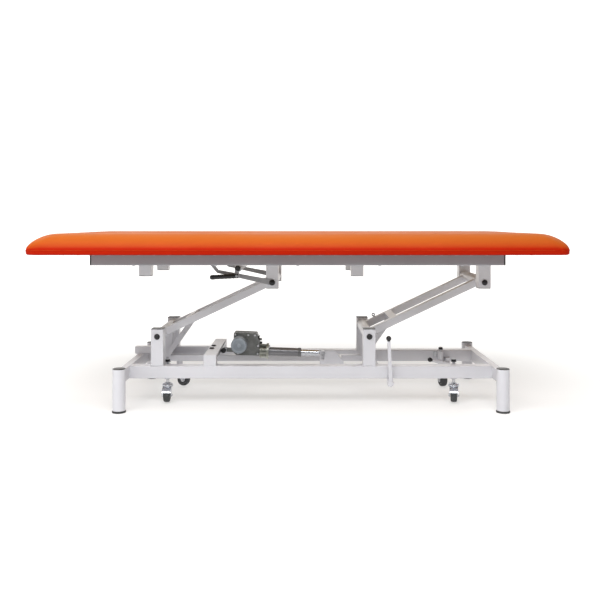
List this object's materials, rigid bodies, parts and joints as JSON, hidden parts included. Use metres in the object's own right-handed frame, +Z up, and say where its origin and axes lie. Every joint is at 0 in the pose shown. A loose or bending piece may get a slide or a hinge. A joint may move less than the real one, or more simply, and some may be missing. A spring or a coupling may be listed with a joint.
{
  "type": "examination couch",
  "caption": "Height-adjustable examination couch with a wide flat orange pad, parallelogram arms, an electric spindle drive and lowering castors.",
  "frame": {"origin": "on the floor, under the middle of the pad", "axes": "+X along the couch towards the end with the far-side short castor lever, +Y away from the side with the tall castor lever, +Z up"},
  "size_m": [2.016, 1, 0.698],
  "materials": {
    "vinyl": "satin",
    "plywood": "matte",
    "white_enamel": "satin",
    "silver_enamel": "satin",
    "black_plastic": "satin",
    "dark_plastic": "satin",
    "black_bolt": "satin",
    "dark_rubber": "matte",
    "bush_plastic": "matte",
    "zinc_steel": "satin",
    "grey_casting": "satin",
    "motor_shell": "satin",
    "raw_casting": "matte",
    "dark_tube": "satin",
    "bright_chrome": "polished",
    "grey_tyre": "matte"
  },
  "bodies": {
    "base": {"legs": "white_enamel", "leg_caps": "black_plastic", "leg_feet": "dark_rubber", "base_rail_near": "white_enamel", "base_rail_far": "white_enamel", "end_beam_left": "white_enamel", "end_beam_right": "white_enamel", "base_cross_tubes": "white_enamel", "pillars": "white_enamel", "pillar_caps": "black_plastic", "bridge": "white_enamel", "base_bolts": "black_bolt", "castor_guides": "white_enamel", "lever_brackets": "white_enamel"},
    "left_arm": {"left_arm_torsion_tubes": "white_enamel", "left_arm_side_tubes": "white_enamel", "left_arm_lever": "white_enamel", "left_arm_bushes": "bush_plastic"},
    "right_arm": {"right_arm_torsion_tubes": "white_enamel", "right_arm_side_tubes": "white_enamel", "right_arm_lever": "white_enamel", "right_arm_bushes": "bush_plastic"},
    "top": {"pad": "vinyl", "pad_board": "plywood", "top_rail_near": "silver_enamel", "top_rail_far": "silver_enamel", "top_cross_members": "silver_enamel", "top_rail_caps": "black_plastic", "pivot_brackets": "white_enamel", "bumper_posts": "white_enamel", "post_plugs": "dark_plastic", "top_bolts": "black_bolt", "stay_strips": "silver_enamel", "handle_clamp": "white_enamel"},
    "tie_bar": {"tie_bar": "white_enamel", "tie_bar_pins": "zinc_steel", "clevis": "white_enamel"},
    "actuator": {"gearbox": "grey_casting", "motor": "motor_shell", "drive_flange": "raw_casting", "outer_tube": "dark_tube"},
    "actuator_rod": {"push_rod": "bright_chrome", "rod_end": "zinc_steel", "front_pin": "zinc_steel"},
    "castor_lift_near": {"castor_stems_near": "zinc_steel"},
    "castor_lift_far": {"castor_stems_far": "zinc_steel"},
    "castor_lever_near": {"castor_lever_near": "white_enamel", "lever_ball_near": "black_plastic"},
    "castor_lever_far": {"castor_lever_far": "white_enamel", "lever_ball_far": "black_plastic"},
    "hand_lever": {"hand_lever": "black_plastic"},
    "lock_knob": {"lock_knob": "black_plastic"},
    "fork_near_left": {"castor_fork_near_left": "bright_chrome"},
    "wheel_near_left": {"castor_wheel_near_left": "grey_tyre"},
    "fork_near_right": {"castor_fork_near_right": "bright_chrome"},
    "wheel_near_right": {"castor_wheel_near_right": "grey_tyre"},
    "fork_far_left": {"castor_fork_far_left": "bright_chrome"},
    "wheel_far_left": {"castor_wheel_far_left": "grey_tyre"},
    "fork_far_right": {"castor_fork_far_right": "bright_chrome"},
    "wheel_far_right": {"castor_wheel_far_right": "grey_tyre"}
  },
  "joints": [
    {"name": "lift", "type": "hinge", "parent": "base", "child": "left_arm", "pos_m": [-0.5665, 0, 0.2755], "axis": [0, -1, 0], "range_deg": [-24.3, 31.5]},
    {"name": "right_arm_pivot", "type": "hinge", "parent": "base", "child": "right_arm", "pos_m": [0.286, 0, 0.2755], "axis": [0, -1, 0], "range_deg": [-24.8, 32]},
    {"name": "top_pivot", "type": "hinge", "parent": "left_arm", "child": "top", "pos_m": [-0.10413, 0, 0.49307], "axis": [0, -1, 0], "range_deg": [-32, 24.8]},
    {"name": "tie_bar_pivot", "type": "hinge", "parent": "left_arm", "child": "tie_bar", "pos_m": [-0.5665, 0.045, 0.1465], "axis": [0, -1, 0], "range_deg": [-32, 24.8]},
    {"name": "actuator_tilt", "type": "hinge", "parent": "base", "child": "actuator", "pos_m": [-0.318, -0.02, 0.192], "axis": [0, -1, 0], "range_deg": [-0.5, 0.62]},
    {"name": "actuator_stroke", "type": "slide", "parent": "actuator", "child": "actuator_rod", "axis": [0.9994, 0, -0.0356], "range_m": [-0.05309, 0.06867]},
    {"name": "castor_lever_near_turn", "type": "hinge", "parent": "base", "child": "castor_lever_near", "pos_m": [0.369, -0.235, 0.093], "axis": [0, 1, 0], "range_deg": [0, 75]},
    {"name": "castor_drop_near", "type": "slide", "parent": "base", "child": "castor_lift_near", "axis": [0, 0, -1], "range_m": [-0.0002, 0.0122]},
    {"name": "castor_lever_far_turn", "type": "hinge", "parent": "base", "child": "castor_lever_far", "pos_m": [0.668, 0.126, 0.101], "axis": [0, 1, 0], "range_deg": [0, 60]},
    {"name": "castor_drop_far", "type": "slide", "parent": "base", "child": "castor_lift_far", "axis": [0, 0, -1], "range_m": [-0.0002, 0.0122]},
    {"name": "swivel_near_left", "type": "hinge", "parent": "castor_lift_near", "child": "fork_near_left", "pos_m": [-0.5353, -0.147, 0.071], "axis": [0, 0, 1], "continuous": true},
    {"name": "roll_near_left", "type": "hinge", "parent": "fork_near_left", "child": "wheel_near_left", "pos_m": [-0.5346, -0.16699, 0.0315], "axis": [-0.9994, -0.0349, 0], "continuous": true},
    {"name": "swivel_near_right", "type": "hinge", "parent": "castor_lift_near", "child": "fork_near_right", "pos_m": [0.6367, -0.147, 0.071], "axis": [0, 0, 1], "continuous": true},
    {"name": "roll_near_right", "type": "hinge", "parent": "fork_near_right", "child": "wheel_near_right", "pos_m": [0.63323, -0.1667, 0.0315], "axis": [-0.9848, 0.1736, 0], "continuous": true},
    {"name": "swivel_far_left", "type": "hinge", "parent": "castor_lift_far", "child": "fork_far_left", "pos_m": [-0.5353, 0.147, 0.071], "axis": [0, 0, 1], "continuous": true},
    {"name": "roll_far_left", "type": "hinge", "parent": "fork_far_left", "child": "wheel_far_left", "pos_m": [-0.5156, 0.14353, 0.0315], "axis": [-0.1736, -0.9848, 0], "continuous": true},
    {"name": "swivel_far_right", "type": "hinge", "parent": "castor_lift_far", "child": "fork_far_right", "pos_m": [0.6367, 0.147, 0.071], "axis": [0, 0, 1], "continuous": true},
    {"name": "roll_far_right", "type": "hinge", "parent": "fork_far_right", "child": "wheel_far_right", "pos_m": [0.64188, 0.12768, 0.0315], "axis": [-0.9659, -0.2588, 0], "continuous": true},
    {"name": "hand_lever_pull", "type": "hinge", "parent": "top", "child": "hand_lever", "pos_m": [-0.245, -0.229, 0.521], "axis": [0, 1, 0], "range_deg": [0, 12]},
    {"name": "lock_knob_turn", "type": "hinge", "parent": "top", "child": "lock_knob", "pos_m": [-0.241, -0.229, 0.551], "axis": [0, 1, 0], "range_deg": [-180, 180]}
  ],
  "couplings": [
    {"joint": "right_arm_pivot", "follows": "lift", "ratio": 1},
    {"joint": "top_pivot", "follows": "lift", "ratio": -1},
    {"joint": "tie_bar_pivot", "follows": "lift", "ratio": -1},
    {"joint": "actuator_tilt", "follows": "lift", "ratio": 0.0165},
    {"joint": "actuator_stroke", "follows": "lift", "m_per_rad": 0.124},
    {"joint": "castor_drop_near", "follows": "castor_lever_near_turn", "m_per_rad": 0.009167},
    {"joint": "castor_drop_far", "follows": "castor_lever_far_turn", "m_per_rad": 0.011459}
  ]
}
